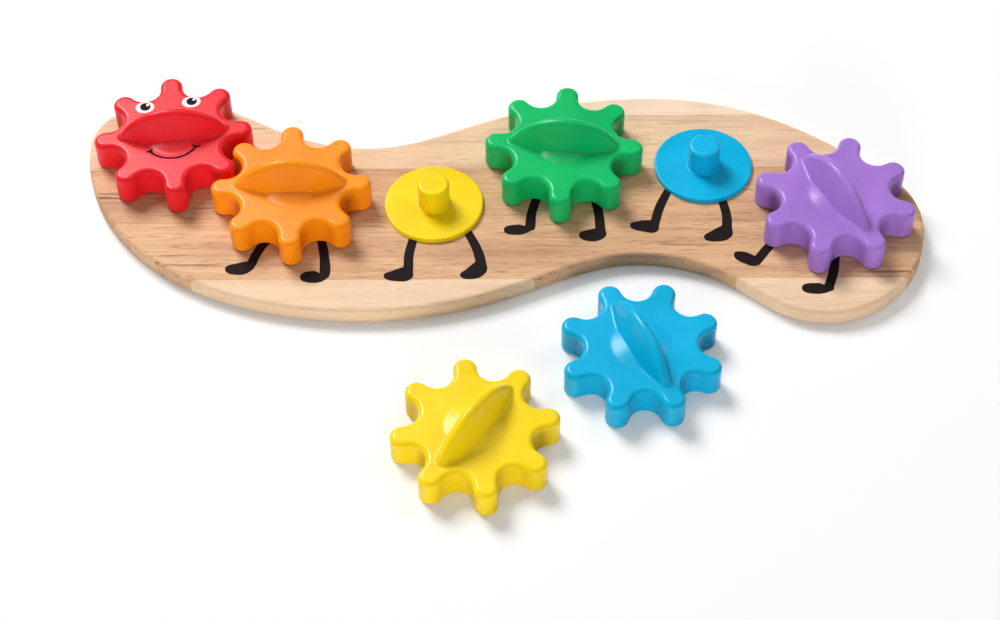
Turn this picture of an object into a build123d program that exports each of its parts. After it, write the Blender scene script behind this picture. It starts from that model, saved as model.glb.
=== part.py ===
"""Wavy wooden board with six lift-off gears that turn on pegs, in millimetres.

+X runs along the board towards the purple gear, +Y to the back and +Z up.
The origin is on the board's underside, midway between the first and the last post.
"""
import os
from math import acos, atan2, cos, degrees, radians, sin, tan

from build123d import *

os.makedirs("parts", exist_ok=True)

# Board
BOARD_THICK = 9.0
BOARD_ROUND = 1.8  # rounding of the top and bottom edges
BOARD_OUTLINE = [  # front edge from the left end to the right end, then the back edge
    (-196, 4), (-191, -19), (-172, -48), (-138, -72), (-96, -83), (-48, -82), (-4, -69),
    (32, -49), (56, -37), (84, -34), (112, -42), (136, -55), (160, -56), (184, -40),
    (195.5, -12), (188.5, 19.5), (166.5, 36.5), (136, 53), (92, 65), (48, 62), (14, 52),
    (-22, 34), (-52, 18.5), (-82, 15), (-112, 22.3), (-142, 33.8), (-167, 35.5), (-188.5, 22.5),
]

# Row of posts: one zigzag of equal steps, so that neighbouring gears mesh
POST_PITCH = 65.2
STEP_ANGLES = (-21.7, 7.0, 30.3, 5.8, -19.7)
COLOURS = ("red", "orange", "yellow", "green", "blue", "purple")

# Gear outline: round tips and round valleys joined by short straight flanks
TEETH = 8
TIP_RADIUS = 36.65
TIP_ROUND = 5.2
VALLEY_CENTRE = 32.5
VALLEY_ROUND = 7.2

# Gear body
GEAR_THICK = 14.8
TOP_ROUND = 2.4
BOTTOM_ROUND = 0.8
WALL = 2.4
DECK = 2.4  # thickness of the top wall

# Grip ridge: the part of a thick wheel that stands above the gear's top
RIDGE_HEIGHT = 15.2
RIDGE_LENGTH = 51.4
RIDGE_SLOPE = 20.0  # of the flanks, from upright
CREST_ROUND = 2.4
RIDGE_FLARE = 1.5  # hollow rounding where the ridge meets the gear's top
RIDGE_WALL = 2.2

# Low round boss under the ridge, over the end of the socket
BOSS_HEIGHT = 2.2
BOSS_CROWN = 38.0  # radius of its domed top
BOSS_SWEEP = 10.0  # radius of its hollow flank
BOSS_RUNOUT = 4.0  # angle at which the flank meets the gear's top

# Gear base plate with the pocket for the hub's disc and the socket for the peg
PLATE_THICK = 4.4
LEDGE = 1.05  # part of the wall that the plate sits against
PLATE_GAP = 0.05
POCKET_RADIUS = 23.1
POCKET_DEPTH = 2.0
SOCKET_RADIUS = 7.36
SOCKET_WALL = 2.0
SOCKET_CHAMFER = 0.8
RECESS_RADIUS = 7.7  # blind end of the socket, in the root of the ridge
RECESS_TAPER = 1.3
RECESS_WALL = 1.5
PEG_END_GAP = 0.25

# Hub: a thin disc with the peg above it and a spigot through the board
DISC_RADIUS = 22.8
DISC_THICK = 2.2
DISC_ROUND = 0.9
PEG_RADIUS = 7.3
PEG_HEIGHT = 13.0
PEG_ROUND = 1.5
PEG_ROOT = 0.6  # hollow rounding at the foot of the peg
SPIGOT_RADIUS = 4.0
SPIGOT_GAP = 0.05
END_PLAY = 0.2  # lift that the washer leaves the hub

# Screw and washer, in a counterbore under the board
COUNTERBORE_RADIUS = 7.5
COUNTERBORE_DEPTH = 4.2
WASHER_RADIUS = 6.5
WASHER_HOLE = 1.7
WASHER_THICK = 1.0
SCREW_RADIUS = 1.5
SCREW_LENGTH = 10.0
SCREW_GAP = 0.03
HEAD_RADIUS = 3.6
HEAD_HEIGHT = 2.2
HEAD_ROUND = 1.0
DRIVE_LENGTH = 3.6
DRIVE_WIDTH = 0.8
DRIVE_DEPTH = 1.2

# Where the gears are in the rest position: turn is the angle of the ridge, which lies along a tooth
RED_TURN = 14.3
GREEN_TURN = 3.6
PURPLE_TURN = -54.3
YELLOW_PLACE = (8.4, -142.0)
YELLOW_TURN = 61.2
BLUE_PLACE = (74.2, -89.8)
BLUE_TURN = -58.2

# Worked out from the above
HALF_PITCH = 180 / TEETH
TIP_CENTRE = TIP_RADIUS - TIP_ROUND
RIDGE_RADIUS = ((RIDGE_LENGTH / 2) ** 2 + RIDGE_HEIGHT**2) / (2 * RIDGE_HEIGHT)
RIDGE_AXLE = GEAR_THICK + RIDGE_HEIGHT - RIDGE_RADIUS  # height of the wheel's centre above the gear's base
ROOT_DEPTH = 1.0  # how far a ridge runs down into what it grows from
DISC_TOP = BOARD_THICK + DISC_THICK
SPIGOT_END = COUNTERBORE_DEPTH - END_PLAY
GEAR_SEAT = DISC_TOP - POCKET_DEPTH  # height of the base of a gear on its hub
SOCKET_END = POCKET_DEPTH + PEG_HEIGHT + PEG_END_GAP
ORANGE_TURN = (2 * STEP_ANGLES[0] + 180 + HALF_PITCH - RED_TURN) % (2 * HALF_PITCH)


def post_places():
    # the zigzag, moved so that its middle is at the origin
    places = [(0.0, 0.0)]
    for angle in STEP_ANGLES:
        x, y = places[-1]
        places.append((x + POST_PITCH * cos(radians(angle)), y + POST_PITCH * sin(radians(angle))))
    middle = (places[-1][0] / 2, places[-1][1] / 2)
    return [(x - middle[0], y - middle[1]) for x, y in places]


def seat(place, height, turn=0.0):
    # plane under one piece, with its X along the ridge
    direction = (cos(radians(turn)), sin(radians(turn)), 0)
    return Plane(origin=(place[0], place[1], height), x_dir=direction, z_dir=(0, 0, 1))


def gear_face(inset):
    # the round ends keep their centres at every inset, so the walls have one thickness
    valley = Vector(VALLEY_CENTRE, 0).rotate(Axis.Z, HALF_PITCH)
    reach = valley - Vector(TIP_CENTRE, 0)
    flank = degrees(atan2(reach.Y, reach.X) - acos((TIP_ROUND + VALLEY_ROUND) / reach.length))
    with BuildSketch() as outline:
        with BuildLine():
            tips = []
            valleys = []
            for tooth in range(TEETH):
                turn = 2 * HALF_PITCH * tooth
                tip_centre = Vector(TIP_CENTRE, 0).rotate(Axis.Z, turn)
                tips.append(CenterArc(tip_centre, TIP_ROUND - inset, turn - flank, 2 * flank))
                valley_centre = valley.rotate(Axis.Z, turn)
                valley_start = turn + flank + 180
                valley_sweep = 2 * (HALF_PITCH - flank)
                valleys.append(CenterArc(valley_centre, VALLEY_ROUND + inset, valley_start, valley_sweep))
            for tooth in range(TEETH):
                Line(tips[tooth] @ 1, valleys[tooth] @ 0)
                Line(valleys[tooth] @ 1, tips[(tooth + 1) % TEETH] @ 0)
        make_face()
    return outline.sketch


def ridge_solid(base, inset, foot):
    # a ring turned about the crosswise axle, cut off at the height foot above the gear's base
    radius = RIDGE_RADIUS - inset
    crest = CREST_ROUND - inset / 2
    tangent = (crest * cos(radians(RIDGE_SLOPE)), radius - crest + crest * sin(radians(RIDGE_SLOPE)))
    inner = foot - RIDGE_AXLE - ROOT_DEPTH
    half_width = tangent[0] + (tangent[1] - inner) * tan(radians(RIDGE_SLOPE))
    axle = base.offset(RIDGE_AXLE)
    across = Plane(origin=axle.origin, x_dir=axle.y_dir, z_dir=axle.x_dir)
    with BuildPart() as ridge:
        with BuildSketch(across):
            with BuildLine():
                Polyline((-tangent[0], tangent[1]), (-half_width, inner), (half_width, inner), tangent)
                CenterArc((0, radius - crest), crest, RIDGE_SLOPE, 180 - 2 * RIDGE_SLOPE)
            make_face()
        revolve(axis=Axis(across.origin, across.x_dir))
        split(bisect_by=base.offset(foot), keep=Keep.TOP)
    return ridge.part


def boss_solid(base):
    # a shallow dome whose flank runs out softly into the gear's top
    runout = radians(BOSS_RUNOUT)
    lean = acos((BOSS_CROWN + BOSS_SWEEP * cos(runout) - BOSS_HEIGHT) / (BOSS_CROWN + BOSS_SWEEP))
    peak = GEAR_THICK + BOSS_HEIGHT
    crown = (0, peak - BOSS_CROWN)
    sweep = (
        (BOSS_CROWN + BOSS_SWEEP) * sin(lean),
        peak - BOSS_CROWN + (BOSS_CROWN + BOSS_SWEEP) * cos(lean),
    )
    foot = sweep[0] - BOSS_SWEEP * sin(runout)
    inside = GEAR_THICK - ROOT_DEPTH
    section = Plane(origin=base.origin, x_dir=base.x_dir, z_dir=-base.y_dir)
    with BuildPart() as boss:
        with BuildSketch(section):
            with BuildLine():
                Polyline((foot, GEAR_THICK), (foot, inside), (0, inside), (0, peak))
                CenterArc(crown, BOSS_CROWN, 90, -degrees(lean))
                CenterArc(sweep, BOSS_SWEEP, 270 - degrees(lean), degrees(lean) - BOSS_RUNOUT)
            make_face()
        revolve(axis=Axis(base.origin, base.z_dir))
    return boss.part


def gear_hollow(base):
    # the space inside a gear: under its top wall and up into the ridge, but not around the socket's end
    ceiling = GEAR_THICK - DECK
    with BuildPart() as hollow:
        add(ridge_solid(base, RIDGE_WALL, ceiling - ROOT_DEPTH))
        with BuildSketch(base.offset(ceiling)):
            Circle(RECESS_RADIUS + RECESS_WALL)
        extrude(amount=SOCKET_END + RECESS_WALL - ceiling, mode=Mode.SUBTRACT)
        with BuildSketch(base):
            add(gear_face(WALL))
        extrude(amount=ceiling)
    return hollow.part


def socket_end(base):
    # room for the peg's round top
    with BuildPart() as recess:
        with BuildSketch(base):
            Circle(RECESS_RADIUS)
        extrude(amount=SOCKET_END)
        chamfer(recess.faces().sort_by(Axis.Z)[-1].edges(), length=RECESS_TAPER)
    return recess.part


def gear_shell(base):
    with BuildPart() as shell:
        with BuildSketch(base):
            add(gear_face(0))
        extrude(amount=GEAR_THICK)
        fillet(shell.faces().sort_by(Axis.Z)[-1].edges(), radius=TOP_ROUND)
        fillet(shell.faces().sort_by(Axis.Z)[0].edges(), radius=BOTTOM_ROUND)
        add(ridge_solid(base, 0, GEAR_THICK - ROOT_DEPTH))
        top = shell.faces().filter_by(Axis.Z).sort_by(Axis.Z)[-1]
        fillet(top.inner_wires()[0].edges(), radius=RIDGE_FLARE)
        add(boss_solid(base))
        add(gear_hollow(base), mode=Mode.SUBTRACT)
        with BuildSketch(base):
            add(gear_face(LEDGE))
        extrude(amount=PLATE_THICK, mode=Mode.SUBTRACT)
        add(socket_end(base), mode=Mode.SUBTRACT)
    return shell.part


def gear_base(base):
    with BuildPart() as plate:
        with BuildSketch(base):
            add(gear_face(LEDGE + PLATE_GAP))
        extrude(amount=PLATE_THICK)
        with BuildSketch(base):
            Circle(SOCKET_RADIUS + SOCKET_WALL)
        extrude(amount=GEAR_THICK - DECK)
        with BuildSketch(base):
            Circle(SOCKET_RADIUS)
        extrude(amount=GEAR_THICK - DECK, mode=Mode.SUBTRACT)
        with BuildSketch(base):
            Circle(POCKET_RADIUS)
        extrude(amount=POCKET_DEPTH, mode=Mode.SUBTRACT)
        socket_rims = plate.edges().filter_by(GeomType.CIRCLE)
        socket_rims = socket_rims.filter_by(lambda edge: abs(edge.radius - SOCKET_RADIUS) < 0.01)
        chamfer(socket_rims.sort_by(Axis.Z)[0], length=SOCKET_CHAMFER)
    return plate.part


def hub(place):
    with BuildPart() as post:
        with BuildSketch(seat(place, BOARD_THICK)):
            Circle(DISC_RADIUS)
        extrude(amount=DISC_THICK)
        fillet(post.faces().sort_by(Axis.Z)[-1].edges(), radius=DISC_ROUND)
        with BuildSketch(seat(place, BOARD_THICK)):
            Circle(PEG_RADIUS)
        extrude(amount=DISC_THICK + PEG_HEIGHT)
        fillet(post.faces().sort_by(Axis.Z)[-1].edges(), radius=PEG_ROUND)
        foot = post.edges().filter_by_position(Axis.Z, DISC_TOP - 0.01, DISC_TOP + 0.01)
        fillet(foot.sort_by(SortBy.LENGTH)[0], radius=PEG_ROOT)
        with BuildSketch(seat(place, SPIGOT_END)):
            Circle(SPIGOT_RADIUS)
        extrude(amount=BOARD_THICK - SPIGOT_END)
        with BuildSketch(seat(place, SPIGOT_END)):
            Circle(SCREW_RADIUS + SCREW_GAP)
        extrude(amount=SCREW_LENGTH, mode=Mode.SUBTRACT)
    return post.part


def washer(place):
    with BuildPart() as ring:
        with BuildSketch(seat(place, SPIGOT_END - WASHER_THICK)):
            Circle(WASHER_RADIUS)
            Circle(WASHER_HOLE, mode=Mode.SUBTRACT)
        extrude(amount=WASHER_THICK)
    return ring.part


def screw(place):
    head_top = SPIGOT_END - WASHER_THICK
    head_base = head_top - HEAD_HEIGHT
    with BuildPart() as fixing:
        with BuildSketch(seat(place, head_base)):
            Circle(HEAD_RADIUS)
        extrude(amount=HEAD_HEIGHT)
        fillet(fixing.faces().sort_by(Axis.Z)[0].edges(), radius=HEAD_ROUND)
        with BuildSketch(seat(place, head_top)):
            Circle(SCREW_RADIUS)
        extrude(amount=SCREW_LENGTH)
        with BuildSketch(seat(place, head_base)):
            Rectangle(DRIVE_LENGTH, DRIVE_WIDTH)
            Rectangle(DRIVE_WIDTH, DRIVE_LENGTH)
        extrude(amount=DRIVE_DEPTH, mode=Mode.SUBTRACT)
    return fixing.part


def save(solid, label):
    solid.label = label
    export_step(solid, f"parts/{label}.step")


posts = dict(zip(COLOURS, post_places()))

with BuildPart() as board:
    with BuildSketch():
        with BuildLine():
            Spline(*BOARD_OUTLINE, periodic=True)
        make_face()
    extrude(amount=BOARD_THICK)
    flat_faces = board.faces().filter_by(Axis.Z)
    fillet(flat_faces.edges(), radius=BOARD_ROUND)
    with Locations(Plane.XY.rotated((180, 0, 0))):
        with Locations(*[(x, -y) for x, y in posts.values()]):
            CounterBoreHole(SPIGOT_RADIUS + SPIGOT_GAP, COUNTERBORE_RADIUS, COUNTERBORE_DEPTH)
save(board.part, "board")

for colour, place in posts.items():
    save(hub(place), f"hub_{colour}")
    save(washer(place), f"washer_{colour}")
    save(screw(place), f"screw_{colour}")

gear_seats = {
    "red": seat(posts["red"], GEAR_SEAT, RED_TURN),
    "orange": seat(posts["orange"], GEAR_SEAT, ORANGE_TURN),
    "yellow": seat(YELLOW_PLACE, 0, YELLOW_TURN),
    "green": seat(posts["green"], GEAR_SEAT, GREEN_TURN),
    "blue": seat(BLUE_PLACE, 0, BLUE_TURN),
    "purple": seat(posts["purple"], GEAR_SEAT, PURPLE_TURN),
}
for colour, base in gear_seats.items():
    save(gear_shell(base), f"gear_{colour}")
    save(gear_base(base), f"gear_base_{colour}")
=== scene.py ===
from math import cos, radians, sin
import bpy
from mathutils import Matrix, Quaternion, Vector


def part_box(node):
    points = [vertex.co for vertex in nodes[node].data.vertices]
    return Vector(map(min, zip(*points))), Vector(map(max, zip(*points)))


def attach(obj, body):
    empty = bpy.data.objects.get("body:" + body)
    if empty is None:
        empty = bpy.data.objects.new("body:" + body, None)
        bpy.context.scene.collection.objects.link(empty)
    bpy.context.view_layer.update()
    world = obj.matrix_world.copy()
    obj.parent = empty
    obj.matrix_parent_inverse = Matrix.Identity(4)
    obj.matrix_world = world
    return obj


# Wooden gear board toy. Metres, X along the board, Y to the back, Z up.

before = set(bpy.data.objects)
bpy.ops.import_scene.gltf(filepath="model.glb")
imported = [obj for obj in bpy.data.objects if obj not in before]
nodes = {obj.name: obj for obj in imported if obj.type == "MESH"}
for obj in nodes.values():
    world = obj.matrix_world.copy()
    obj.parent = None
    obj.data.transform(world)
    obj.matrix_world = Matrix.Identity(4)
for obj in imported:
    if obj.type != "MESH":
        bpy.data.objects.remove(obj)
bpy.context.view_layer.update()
mm = 0.001
colours = ["red", "orange", "yellow", "green", "blue", "purple"]


# ---- camera ----
camera = {
    "place": (0.1005, -0.6895, 0.7894),
    "lookAt": (0.0088, -0.0671, 0.0),
    "roll": -0.86,  # degrees
    "lens": 80.8,
    "sensor": 36,
}
camData = bpy.data.cameras.new("camera")
camData.lens = camera["lens"]
camData.sensor_width = camera["sensor"]
camData.sensor_fit = "HORIZONTAL"
camObject = bpy.data.objects.new("camera", camData)
bpy.context.scene.collection.objects.link(camObject)
camObject.location = camera["place"]
aim = Vector(camera["lookAt"]) - Vector(camera["place"])
roll = Quaternion((0, 0, 1), radians(camera["roll"]))
camObject.rotation_mode = "QUATERNION"
camObject.rotation_quaternion = aim.to_track_quat("-Z", "Y") @ roll
bpy.context.scene.camera = camObject
bpy.context.scene.view_settings.view_transform = "Standard"
print("camera placed")


# ---- small helpers ----
def clearSelection():
    if bpy.context.object and bpy.context.object.mode != "OBJECT":
        bpy.ops.object.mode_set(mode="OBJECT")
    bpy.ops.object.select_all(action="DESELECT")


def selectOnly(piece):
    clearSelection()
    piece.select_set(True)
    bpy.context.view_layer.objects.active = piece


def bakePlace(piece):  # the finished object sits at the origin, its place is in its mesh
    selectOnly(piece)
    bpy.ops.object.transform_apply(location=True, rotation=True, scale=True)


def dress(piece, material):
    piece.data.materials.clear()
    piece.data.materials.append(material)


def setInputs(node, values):
    for key, value in values.items():
        node.inputs[key].default_value = value


def addNode(tree, kind, x, y, inputs=None, **settings):
    node = tree.nodes.new(kind)
    node.location = (x, y)
    for key, value in settings.items():
        setattr(node, key, value)
    setInputs(node, inputs or {})
    return node


def newMaterial(name):
    material = bpy.data.materials.new(name)
    material.use_nodes = True
    shader = material.node_tree.nodes["Principled BSDF"]
    return material, material.node_tree, shader


def objectCoords(tree, x, y):
    return addNode(tree, "ShaderNodeTexCoord", x, y).outputs["Object"]


def addNoise(tree, x, y, coords, scale, detail, distortion=0.0):
    values = {"Scale": scale, "Detail": detail, "Distortion": distortion}
    texture = addNode(tree, "ShaderNodeTexNoise", x, y, values)
    tree.links.new(coords, texture.inputs["Vector"])
    return texture.outputs["Fac"]


def ramp(tree, x, y, source, stops, mode="LINEAR"):
    node = addNode(tree, "ShaderNodeValToRGB", x, y)
    node.color_ramp.interpolation = mode
    while len(node.color_ramp.elements) < len(stops):
        node.color_ramp.elements.new(0.5)
    for element, (position, colour) in zip(node.color_ramp.elements, stops):
        element.position = position
        element.color = (*colour, 1)
    tree.links.new(source, node.inputs["Fac"])
    return node.outputs["Color"]


def combine(tree, x, y, first, second, operation="MULTIPLY"):
    node = addNode(tree, "ShaderNodeMath", x, y, operation=operation)
    for socket, value in zip(node.inputs, (first, second)):
        if isinstance(value, float):
            socket.default_value = value
        else:
            tree.links.new(value, socket)
    return node.outputs["Value"]


def roughBetween(tree, x, y, shader, source, low, high):
    rough = addNode(tree, "ShaderNodeMapRange", x, y, {"To Min": low, "To Max": high})
    tree.links.new(source, rough.inputs["Value"])
    tree.links.new(rough.outputs["Result"], shader.inputs["Roughness"])


def bumpFrom(tree, height, shader, distance):
    bump = addNode(tree, "ShaderNodeBump", -250, -450, {"Distance": distance})
    tree.links.new(height, bump.inputs["Height"])
    tree.links.new(bump.outputs["Normal"], shader.inputs["Normal"])


def speckledMaterial(name, look, dull, bright):
    material, tree, shader = newMaterial(name)
    speckle = addNoise(tree, -800, 0, objectCoords(tree, -1000, 0), **look["speckle"])
    tone = ramp(tree, -500, 200, speckle, list(zip(look["toneStops"], (dull, bright))))
    tree.links.new(tone, shader.inputs["Base Color"])
    bumpFrom(tree, speckle, shader, look["speckleDepth"])
    shader.inputs["Roughness"].default_value = look["roughness"]
    return material, shader


# ---- moulded plastic ----
plastic = {
    "red": (0.80, 0.012, 0.022),
    "orange": (0.99, 0.28, 0.004),
    "yellow": (0.88, 0.63, 0.003),
    "green": (0.002, 0.46, 0.125),
    "blue": (0.0, 0.41, 0.68),
    "purple": (0.36, 0.18, 0.60),
    "darkest": 0.93,  # share of the colour where the cloud is thin
    "lightest": 1.04,
    "paleness": 0.004,  # added where the cloud is thick
    "roughness": 0.27,
    "smoother": 0.04,  # how far the roughness goes below that, and how far above it
    "rougher": 0.06,
    "shine": 0.24,
    "scatter": 0.06,
    "scatterReach": 0.004,  # metres
    "cloud": {"scale": 38, "detail": 3},
    "cloudStops": (0.35, 0.65),
    "grain": {"scale": 1300, "detail": 2},
    "waves": {"scale": 55, "detail": 1},
    "waveShare": 4.0,  # height of the waves, against the grain's
    "grainDepth": 0.000018,
}


def plasticMaterial(colour):
    material, tree, shader = newMaterial(f"plastic_{colour}")
    coords = objectCoords(tree, -1300, 0)
    cloud = addNoise(tree, -1050, 250, coords, **plastic["cloud"])
    grain = addNoise(tree, -1050, -350, coords, **plastic["grain"])
    waves = addNoise(tree, -1050, -650, coords, **plastic["waves"])
    darker = tuple(plastic["darkest"] * c for c in plastic[colour])
    lighter = tuple(min(1, plastic["lightest"] * c + plastic["paleness"]) for c in plastic[colour])
    tint = ramp(tree, -700, 250, cloud, list(zip(plastic["cloudStops"], (darker, lighter))))
    tree.links.new(tint, shader.inputs["Base Color"])
    roughBetween(tree, -700, -50, shader, cloud, plastic["roughness"] - plastic["smoother"],
                 plastic["roughness"] + plastic["rougher"])
    swell = combine(tree, -850, -600, waves, plastic["waveShare"])
    bumpFrom(tree, combine(tree, -700, -450, swell, grain, "ADD"), shader, plastic["grainDepth"])
    setInputs(shader, {
        "Specular IOR Level": plastic["shine"],
        "Subsurface Weight": plastic["scatter"],
        "Subsurface Radius": [plastic["scatterReach"]] * 3,
    })
    return material


plastics = {colour: plasticMaterial(colour) for colour in colours}
for colour in colours:
    for kind in ("hub", "gear", "gear_base"):
        dress(nodes[f"{kind}_{colour}"], plastics[colour])
print("plastic mixed")


# ---- gate marks, where the plastic went into the mould ----
gate = {  # mm
    "radius": 1.1,
    "height": 0.12,  # less than the gap over a peg in its socket
    "edge": 0.05,
    "edgeSteps": 3,
    "sides": 40,
    "smoothUpTo": 40,  # degrees between faces
}
for colour in colours:
    low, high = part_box(f"hub_{colour}")
    clearSelection()
    bpy.ops.mesh.primitive_cylinder_add(
        vertices=gate["sides"], radius=gate["radius"] * mm, depth=2 * gate["height"] * mm,
        location=((low.x + high.x) / 2, (low.y + high.y) / 2, high.z))
    mark = bpy.context.object
    mark.name = f"gate_mark_{colour}"
    bakePlace(mark)
    soften = mark.modifiers.new("soften", "BEVEL")
    soften.width = gate["edge"] * mm
    soften.segments = gate["edgeSteps"]
    bpy.ops.object.modifier_apply(modifier="soften")
    bpy.ops.object.shade_smooth_by_angle(angle=radians(gate["smoothUpTo"]))
    dress(mark, plastics[colour])
    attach(mark, f"hub_{colour}")
print("gate marks set")


# ---- glued strips of pale wood ----
wood = {
    "grainTurn": 7.6,  # degrees, from the board's X to the grain
    "seams": (-0.0574, -0.024, 0.0095, 0.043),  # metres from the middle, across the grain
    "stripTones": ((0.83, 0.60, 0.40), (0.75, 0.46, 0.255), (0.70, 0.415, 0.23),
                   (0.81, 0.56, 0.36), (0.87, 0.66, 0.48)),
    "stripFigure": (0.32, 0.95, 1.0, 0.5, 0.2),  # how much brown figure a strip has
    "stripShift": (0.13, 0.07, 0.3),  # how far a strip's grain is moved from its neighbour's
    "spread": 0.2,  # the strip ramp runs from minus half of this to plus half
    "brown": (0.40, 0.205, 0.115),
    "dash": (0.20, 0.085, 0.045),
    "roughness": 0.46,
    "smoother": 0.06,
    "rougher": 0.14,
    "shine": 0.15,
    "poreDepth": 0.00007,
    "poreGroove": 0.6,
    "fibreGroove": 0.5,
}
# noise, how many times longer it is along the grain, where it begins and is full, share of the tone
figure = {
    "bands": {"noise": (75, 3, 0.4), "length": 12, "from": 0.40, "to": 0.66, "share": 0.5},
    "streaks": {"noise": (300, 5), "length": 20, "from": 0.47, "to": 0.72, "share": 0.46},
    "fibres": {"noise": (1000, 3), "length": 30, "from": 0.38, "to": 0.75, "share": 0.28},
    "dashes": {"noise": (520, 3), "length": 18, "from": 0.585, "to": 0.69, "share": 0.85},
    "pores": {"noise": (1700, 1), "length": 14, "from": 0.60, "to": 0.68, "share": 0.42},
    "clusters": {"noise": (55, 2), "length": 5, "from": 0.45, "to": 0.62},
}


def blend(tree, x, y, amount, first, second):
    mix = addNode(tree, "ShaderNodeMix", x, y, data_type="RGBA", blend_type="MIX")
    tree.links.new(amount, mix.inputs["Factor"])
    tree.links.new(first, mix.inputs[6])
    mix.inputs[7].default_value = (*second, 1)
    return mix.outputs[2]


def woodMaterial():
    material, tree, shader = newMaterial("rubberwood")
    turn = addNode(tree, "ShaderNodeMapping", -2300, 0,
                   {"Rotation": (0, 0, radians(-wood["grainTurn"]))})
    tree.links.new(objectCoords(tree, -2500, 0), turn.inputs["Vector"])
    split = addNode(tree, "ShaderNodeSeparateXYZ", -2100, 300)
    tree.links.new(turn.outputs["Vector"], split.inputs["Vector"])
    across = addNode(tree, "ShaderNodeMapRange", -1900, 400,
                     {"From Min": -wood["spread"] / 2, "From Max": wood["spread"] / 2})
    tree.links.new(split.outputs["Y"], across.inputs["Value"])
    starts = [0] + [0.5 + seam / wood["spread"] for seam in wood["seams"]]

    def perStrip(y, values):
        return ramp(tree, -1650, y, across.outputs["Result"], list(zip(starts, values)), "CONSTANT")

    tones = perStrip(500, wood["stripTones"])
    figured = perStrip(250, [(share, share, share) for share in wood["stripFigure"]])
    # every strip has its own piece of the grain, so the pattern breaks at the seams
    alongBy, acrossBy, depthBy = wood["stripShift"]
    shifts = perStrip(0, [(alongBy * (3 * i % 5), acrossBy * i, depthBy * i) for i in range(5)])
    move = addNode(tree, "ShaderNodeVectorMath", -1350, 100, operation="ADD")
    tree.links.new(turn.outputs["Vector"], move.inputs[0])
    tree.links.new(shifts, move.inputs[1])

    plain, marks = {}, {}
    for row, (name, look) in enumerate(figure.items()):
        y = 500 - 300 * row
        place = addNode(tree, "ShaderNodeMapping", -1150, y, {"Scale": (1 / look["length"], 1, 1)})
        tree.links.new(move.outputs["Vector"], place.inputs["Vector"])
        plain[name] = addNoise(tree, -950, y, place.outputs["Vector"], *look["noise"])
        marks[name] = ramp(tree, -700, y, plain[name],
                           [(look["from"], (0.0, 0.0, 0.0)), (look["to"], (1.0, 1.0, 1.0))])

    layers = [("bands", "brown"), ("streaks", "brown"), ("fibres", "brown"),
              ("dashes", "dash"), ("pores", "dash")]
    colour = tones
    for row, (name, tone) in enumerate(layers):
        y = 500 - 300 * row
        amount = marks[name]
        if name == "dashes":  # they come in groups
            amount = combine(tree, -650, y, amount, marks["clusters"])
        amount = combine(tree, -550, y, amount, figured)
        amount = combine(tree, -400, y, amount, figure[name]["share"])
        colour = blend(tree, -200 + 200 * row, 500 - 50 * row, amount, colour, wood[tone])
    tree.links.new(colour, shader.inputs["Base Color"])

    roughBetween(tree, 0, -100, shader, plain["fibres"],
                 wood["roughness"] - wood["smoother"], wood["roughness"] + wood["rougher"])
    grooves = combine(tree, 0, -500, combine(tree, -200, -600, marks["pores"], wood["poreGroove"]),
                      combine(tree, -200, -750, plain["fibres"], wood["fibreGroove"]), "ADD")
    bumpFrom(tree, combine(tree, 150, -500, grooves, -1.0), shader, wood["poreDepth"])
    shader.inputs["Specular IOR Level"].default_value = wood["shine"]
    for node, x in ((shader, 900), (tree.nodes["Material Output"], 1250)):
        node.location = (x, 300)
    return material


dress(nodes["board"], woodMaterial())
print("wood laid up")


# ---- zinc-plated fixings ----
zinc = {
    "dull": (0.50, 0.50, 0.49),
    "bright": (0.68, 0.69, 0.70),
    "roughness": 0.33,
    "speckle": {"scale": 900, "detail": 4},
    "toneStops": (0.3, 0.7),
    "speckleDepth": 0.00002,
}
zincPlate, zincShader = speckledMaterial("zinc_plate", zinc, zinc["dull"], zinc["bright"])
zincShader.inputs["Metallic"].default_value = 1.0
for colour in colours:
    dress(nodes[f"washer_{colour}"], zincPlate)
    dress(nodes[f"screw_{colour}"], zincPlate)
print("fixings plated")


# ---- printed legs and face ----
ink = {
    "thickness": 0.05,  # mm
    "weld": 0.001,  # mm, points nearer than this become one
    "curveSteps": 10,
    "ink_dark": (0.014, 0.008, 0.008),
    "ink_white": (0.90, 0.89, 0.87),
    "darkest": 0.85,
    "lightest": 1.1,
    "roughness": 0.6,
    "shine": 0.06,
    "speckle": {"scale": 1800, "detail": 3},
    "toneStops": (0.3, 0.7),
    "speckleDepth": 0.00001,
}


def inkMaterial(name):
    dull = tuple(ink["darkest"] * c for c in ink[name])
    bright = tuple(min(1, ink["lightest"] * c) for c in ink[name])
    material, shader = speckledMaterial(name, ink, dull, bright)
    shader.inputs["Specular IOR Level"].default_value = ink["shine"]
    return material


inks = {name: inkMaterial(name) for name in ("ink_dark", "ink_white")}


def printShape(name, outline, sharp, height):
    # a closed outline in mm, a smooth curve with some sharp corners, filled, with no thickness yet
    clearSelection()
    bpy.ops.curve.primitive_bezier_circle_add(location=(0, 0, 0))  # gets the outline's points below
    drawing = bpy.context.object
    drawing.name = name
    curve = drawing.data
    curve.dimensions = "2D"
    curve.fill_mode = "BOTH"
    curve.resolution_u = ink["curveSteps"]
    path = curve.splines[0]
    path.bezier_points.add(len(outline) - len(path.bezier_points))
    for index, (point, (x, y)) in enumerate(zip(path.bezier_points, outline)):
        point.handle_left_type = point.handle_right_type = "VECTOR" if index in sharp else "AUTO"
        point.co = (x * mm, y * mm, 0)
    drawing.location = (0, 0, height * mm)
    selectOnly(drawing)
    bpy.ops.object.convert(target="MESH")
    piece = bpy.context.object
    bakePlace(piece)
    return piece


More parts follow.
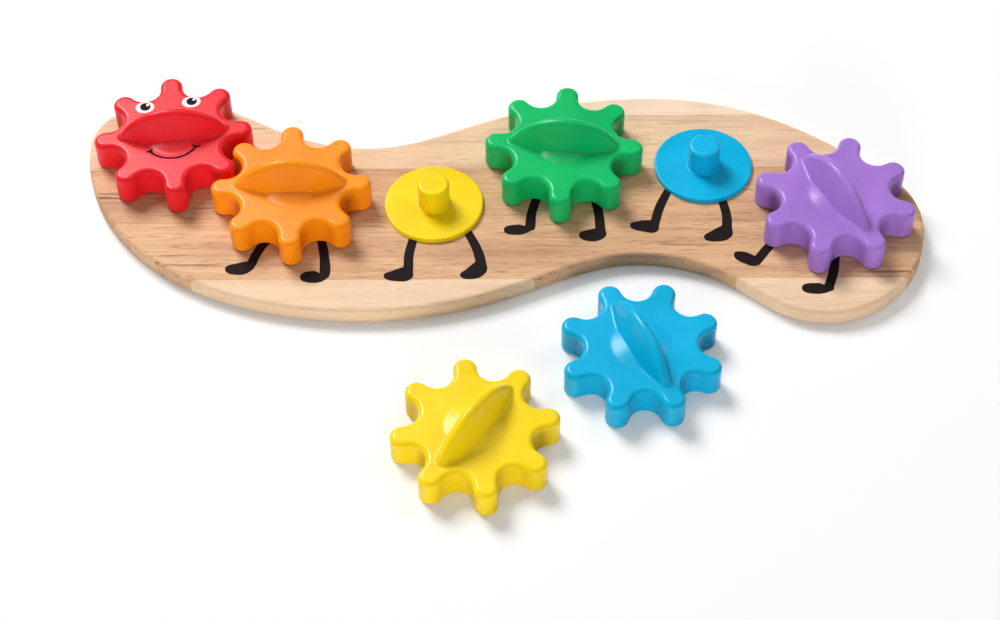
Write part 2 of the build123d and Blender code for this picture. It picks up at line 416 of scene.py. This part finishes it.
def layFilm(piece, lift, slotName, rider):
    # drops a flat shape onto the part below, gives it the ink's thickness and makes it ride there
    settle = piece.modifiers.new("settle", "SHRINKWRAP")
    settle.target = nodes[rider]
    settle.wrap_method = "PROJECT"
    settle.use_project_z = True
    settle.use_negative_direction = True
    settle.use_positive_direction = False
    selectOnly(piece)
    bpy.ops.object.modifier_apply(modifier="settle")
    bpy.ops.object.mode_set(mode="EDIT")
    bpy.ops.mesh.select_all(action="SELECT")
    bpy.ops.mesh.remove_doubles(threshold=ink["weld"] * mm)
    bpy.ops.mesh.normals_make_consistent(inside=False)
    bpy.ops.object.mode_set(mode="OBJECT")
    if piece.data.polygons[0].normal.z < 0:
        bpy.ops.object.mode_set(mode="EDIT")
        bpy.ops.mesh.flip_normals()
        bpy.ops.object.mode_set(mode="OBJECT")
    film = piece.modifiers.new("film", "SOLIDIFY")
    film.thickness = ink["thickness"] * mm
    film.offset = 1
    bpy.ops.object.modifier_apply(modifier="film")
    piece.location = (0, 0, lift * mm)
    bakePlace(piece)
    dress(piece, inks[slotName])
    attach(piece, rider)


# mm, seen from above, left leg then right: hip, ankle, toe, heel, instep, sole
legs = {
    "orange": (
        ((-102.5, -52.2), (-105.8, -63.3), (-116.6, -66.5),
         (-104.0, -64.9), (-111.1, -62.2), (-109.6, -69.1)),
        ((-76.9, -42.9), (-71.0, -64.8), (-82.1, -66.8),
         (-69.6, -65.2), (-76.5, -62.5), (-75.2, -69.4)),
    ),
    "yellow": (
        ((-35.0, -38.7), (-34.4, -57.0), (-44.8, -61.3),
         (-32.0, -60.8), (-41.2, -57.8), (-37.9, -63.7)),
        ((-10.4, -31.8), (-2.0, -48.6), (-10.6, -56.9), (0.4, -53.3), (-8.1, -52.4), (-5.5, -58.3)),
    ),
    "green": (
        ((17.9, -6.3), (16.7, -26.1), (5.3, -27.6), (18.1, -25.9), (11.3, -23.5), (12.1, -29.7)),
        ((45.3, -5.9), (49.4, -22.6), (39.7, -26.2), (51.9, -24.7), (45.2, -21.9), (46.0, -29.3)),
    ),
    "blue": (
        ((77.6, 5.4), (73.2, -15.5), (62.2, -17.3), (75.0, -19.2), (65.9, -14.4), (69.4, -20.6)),
        ((103.2, 2.4), (106.6, -13.8), (96.5, -20.7),
         (108.7, -18.0), (100.1, -15.7), (102.0, -22.2)),
    ),
    "purple": (
        ((126.7, -21.2), (121.0, -31.4), (110.7, -28.2),
         (122.6, -33.2), (114.5, -26.7), (117.4, -34.2)),
        ((156.0, -24.6), (154.1, -43.6), (142.1, -44.6),
         (156.7, -42.7), (149.1, -40.8), (149.4, -47.1)),
    ),
}
legShape = {  # mm
    "hipWidth": 4.2,
    "ankleWidth": 4.5,
    "bow": 0.7,  # how far the knee stands outwards
    "discEdge": 22.95,
    "step": 0.1,
    "lean": 0.25,  # share of the way to the post in each step, not a length
    "calfEnd": 0.6,
    "heelDrop": 0.4,
    "shinEnd": 2.0,
    "corners": {0, 7, 9},  # points of the outline: both ends of the hip, and the end of the shin
    "dropFrom": 12.0,
}


def middleOf(node):
    low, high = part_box(node)
    return (low + high) / 2 / mm


def drawLeg(name, colour, points):
    hip, ankle, toe, heel, instep, sole = [Vector(p) for p in points]
    post = middleOf(f"hub_{colour}").xy
    step, lean = legShape["step"], legShape["lean"]
    down = (ankle - hip).normalized()
    while (hip - post).length > legShape["discEdge"] + step:  # it runs on, up to the disc's edge
        towards = (post - hip).normalized()
        hip = hip + step * ((1 - lean) * -down + lean * towards).normalized()
    down = (ankle - hip).normalized()
    side = Vector((-down.y, down.x))
    outward = 1 if (hip - post).x > 0 else -1
    knee = (hip + ankle) / 2 + side * legShape["bow"] * outward
    hipHalf, ankleHalf = legShape["hipWidth"] / 2, legShape["ankleWidth"] / 2
    kneeHalf = (hipHalf + ankleHalf) / 2
    away = (hip - post).normalized()  # the top end follows the disc's edge
    rim = Vector((-away.y, away.x))
    rim = rim if rim.dot(side) > 0 else -rim
    calf = ankle + side * ankleHalf - down * legShape["calfEnd"]
    shin = ankle - side * ankleHalf - down * legShape["shinEnd"]
    outline = [
        hip + rim * hipHalf, knee + side * kneeHalf, calf, heel + down * legShape["heelDrop"],
        sole, toe, instep, shin, knee - side * kneeHalf, hip - rim * hipHalf,
    ]
    return printShape(name, outline, legShape["corners"], legShape["dropFrom"])


for colour, pair in legs.items():
    for side, points in zip(("left", "right"), pair):
        leg = drawLeg(f"leg_{colour}_{side}", colour, points)
        layFilm(leg, 0, "ink_dark", "board")
print("legs printed")

face = {  # mm, places seen from above
    "turn": 14.3,  # degrees
    "eyes": ((-170.6, 13.6), (-149.7, 19.9)),
    "eyeSize": (8.8, 7.2),
    "pupil": 4.9,
    "pupilShift": (0.2, 0.3),
    "glint": 1.5,
    "glintShift": (1.1, 1.0),
    "spotSides": 48,
    "spotRings": 4,
    "ringShare": 11,  # a ring is this part of the spot's height
    "smile": ((-161.9, -13.4), (-159.7, -15.1), (-156.6, -16.2), (-151.3, -16.4),
              (-145.9, -14.2), (-142.7, -10.7), (-141.3, -7.9)),
    "smileWidth": 1.05,
    "ticks": (((-163.4, -14.2), (-161.9, -13.4), (-161.0, -11.8)),
              ((-143.1, -7.0), (-141.3, -7.7), (-139.2, -7.1))),
    "tickWidth": 0.9,
    "taper": 0.5,  # width left at a stroke's ends
    "dropFrom": 30.0,
}


def printSpot(name, centre, size, lift, slotName):
    # an oval film that follows the gear's top; its rings let it bend, and lift sets it on another
    clearSelection()
    bpy.ops.mesh.primitive_circle_add(
        vertices=face["spotSides"], radius=0.5, fill_type="NGON",
        location=(centre[0] * mm, centre[1] * mm, face["dropFrom"] * mm))
    spot = bpy.context.object
    spot.name = name
    spot.scale = (size[0] * mm, size[1] * mm, 1)
    spot.rotation_euler = (0, 0, radians(face["turn"]))
    bakePlace(spot)
    bpy.ops.object.mode_set(mode="EDIT")
    bpy.ops.mesh.select_all(action="SELECT")
    for _ in range(face["spotRings"]):
        bpy.ops.mesh.inset(thickness=size[1] * mm / face["ringShare"], depth=0)
    bpy.ops.object.mode_set(mode="OBJECT")
    layFilm(spot, lift, slotName, "gear_red")


def turned(shift):
    angle = radians(face["turn"])
    return Vector((shift[0] * cos(angle) - shift[1] * sin(angle),
                   shift[0] * sin(angle) + shift[1] * cos(angle)))


for side, centre in zip(("left", "right"), face["eyes"]):
    middle = Vector(centre)
    pupilMiddle = middle + turned(face["pupilShift"])
    glintMiddle = pupilMiddle + turned(face["glintShift"])
    printSpot(f"eye_{side}", middle, face["eyeSize"], 0, "ink_white")
    printSpot(f"pupil_{side}", pupilMiddle, [face["pupil"]] * 2, ink["thickness"], "ink_dark")
    printSpot(f"glint_{side}", glintMiddle, [face["glint"]] * 2, 2 * ink["thickness"], "ink_white")


def drawStroke(name, points, width):
    # a brush stroke along a few points, thinner at its two ends
    line = [Vector(p) for p in points]
    left, right = [], []
    for index, point in enumerate(line):
        before, after = line[max(index - 1, 0)], line[min(index + 1, len(line) - 1)]
        along = (after - before).normalized()
        half = width / 2 * (face["taper"] if index in (0, len(line) - 1) else 1)
        across = Vector((-along.y, along.x)) * half
        left.append(point + across)
        right.append(point - across)
    return printShape(name, left + right[::-1], set(), face["dropFrom"])


strokes = [("smile", face["smile"], face["smileWidth"])]
for side, points in zip(("left", "right"), face["ticks"]):
    strokes.append((f"smile_end_{side}", points, face["tickWidth"]))
for name, points, width in strokes:
    stroke = drawStroke(name, points, width)
    layFilm(stroke, 0, "ink_dark", "gear_red")
print("face printed")


# ---- floor and lights ----
studio = {
    "floorSize": 12.0,
    "floorColour": 0.88,
    "floorRoughness": 0.9,
    "lift": 0.16,  # share of plain white that only the camera sees
    "world": 0.13,
    "lamps": {
        "leftSoftbox": {"place": (-1.52, 1.52, 2.42), "size": 1.3, "power": 112.0},
        "rightSoftbox": {"place": (1.70, 1.35, 2.00), "size": 1.2, "power": 13.0},
        "topSoftbox": {"place": (0.10, 0.40, 2.70), "size": 2.0, "power": 9.0},
        "frontSoftbox": {"place": (0.20, -2.60, 0.45), "size": 1.0, "power": 38.0, "glare": False},
    },
}


def floorMaterial():
    material, tree, shader = newMaterial("paper_white")
    setInputs(shader, {
        "Base Color": (*[studio["floorColour"]] * 3, 1),
        "Roughness": studio["floorRoughness"],
        "Specular IOR Level": 0.0,
    })
    glow = addNode(tree, "ShaderNodeEmission", 0, -400)
    path = addNode(tree, "ShaderNodeLightPath", -300, 400)
    share = combine(tree, 0, 300, path.outputs["Is Camera Ray"], studio["lift"])
    mix = addNode(tree, "ShaderNodeMixShader", 250, 0)
    out = tree.nodes["Material Output"]
    tree.links.new(share, mix.inputs["Fac"])
    tree.links.new(shader.outputs["BSDF"], mix.inputs[1])
    tree.links.new(glow.outputs["Emission"], mix.inputs[2])
    tree.links.new(mix.outputs["Shader"], out.inputs["Surface"])
    return material


clearSelection()
bpy.ops.mesh.primitive_plane_add(size=studio["floorSize"], location=(0, 0, 0))
floor = bpy.context.object
floor.name = "floor"
dress(floor, floorMaterial())

for name, lamp in studio["lamps"].items():
    data = bpy.data.lights.new(name, "AREA")
    data.size = lamp["size"]
    data.energy = lamp["power"]
    lampObject = bpy.data.objects.new(name, data)
    bpy.context.scene.collection.objects.link(lampObject)
    lampObject.location = lamp["place"]
    lampObject.visible_glossy = lamp.get("glare", True)
    lampObject.rotation_euler = (-Vector(lamp["place"])).to_track_quat("-Z", "Y").to_euler()

world = bpy.data.worlds.new("studio")
bpy.context.scene.world = world
world.use_nodes = True
worldTree = world.node_tree
sky = worldTree.nodes["Background"]
sky.inputs["Color"].default_value = (1, 1, 1, 1)
seen = addNode(worldTree, "ShaderNodeLightPath", -600, 0)
seenAny = combine(worldTree, -400, 0, seen.outputs["Is Camera Ray"],
                  seen.outputs["Is Transmission Ray"], "MAXIMUM")
level = addNode(worldTree, "ShaderNodeMapRange", -200, 0,
                {"To Min": studio["world"], "To Max": 1.0})
worldTree.links.new(seenAny, level.inputs["Value"])
worldTree.links.new(level.outputs["Result"], sky.inputs["Strength"])
print("studio lit")
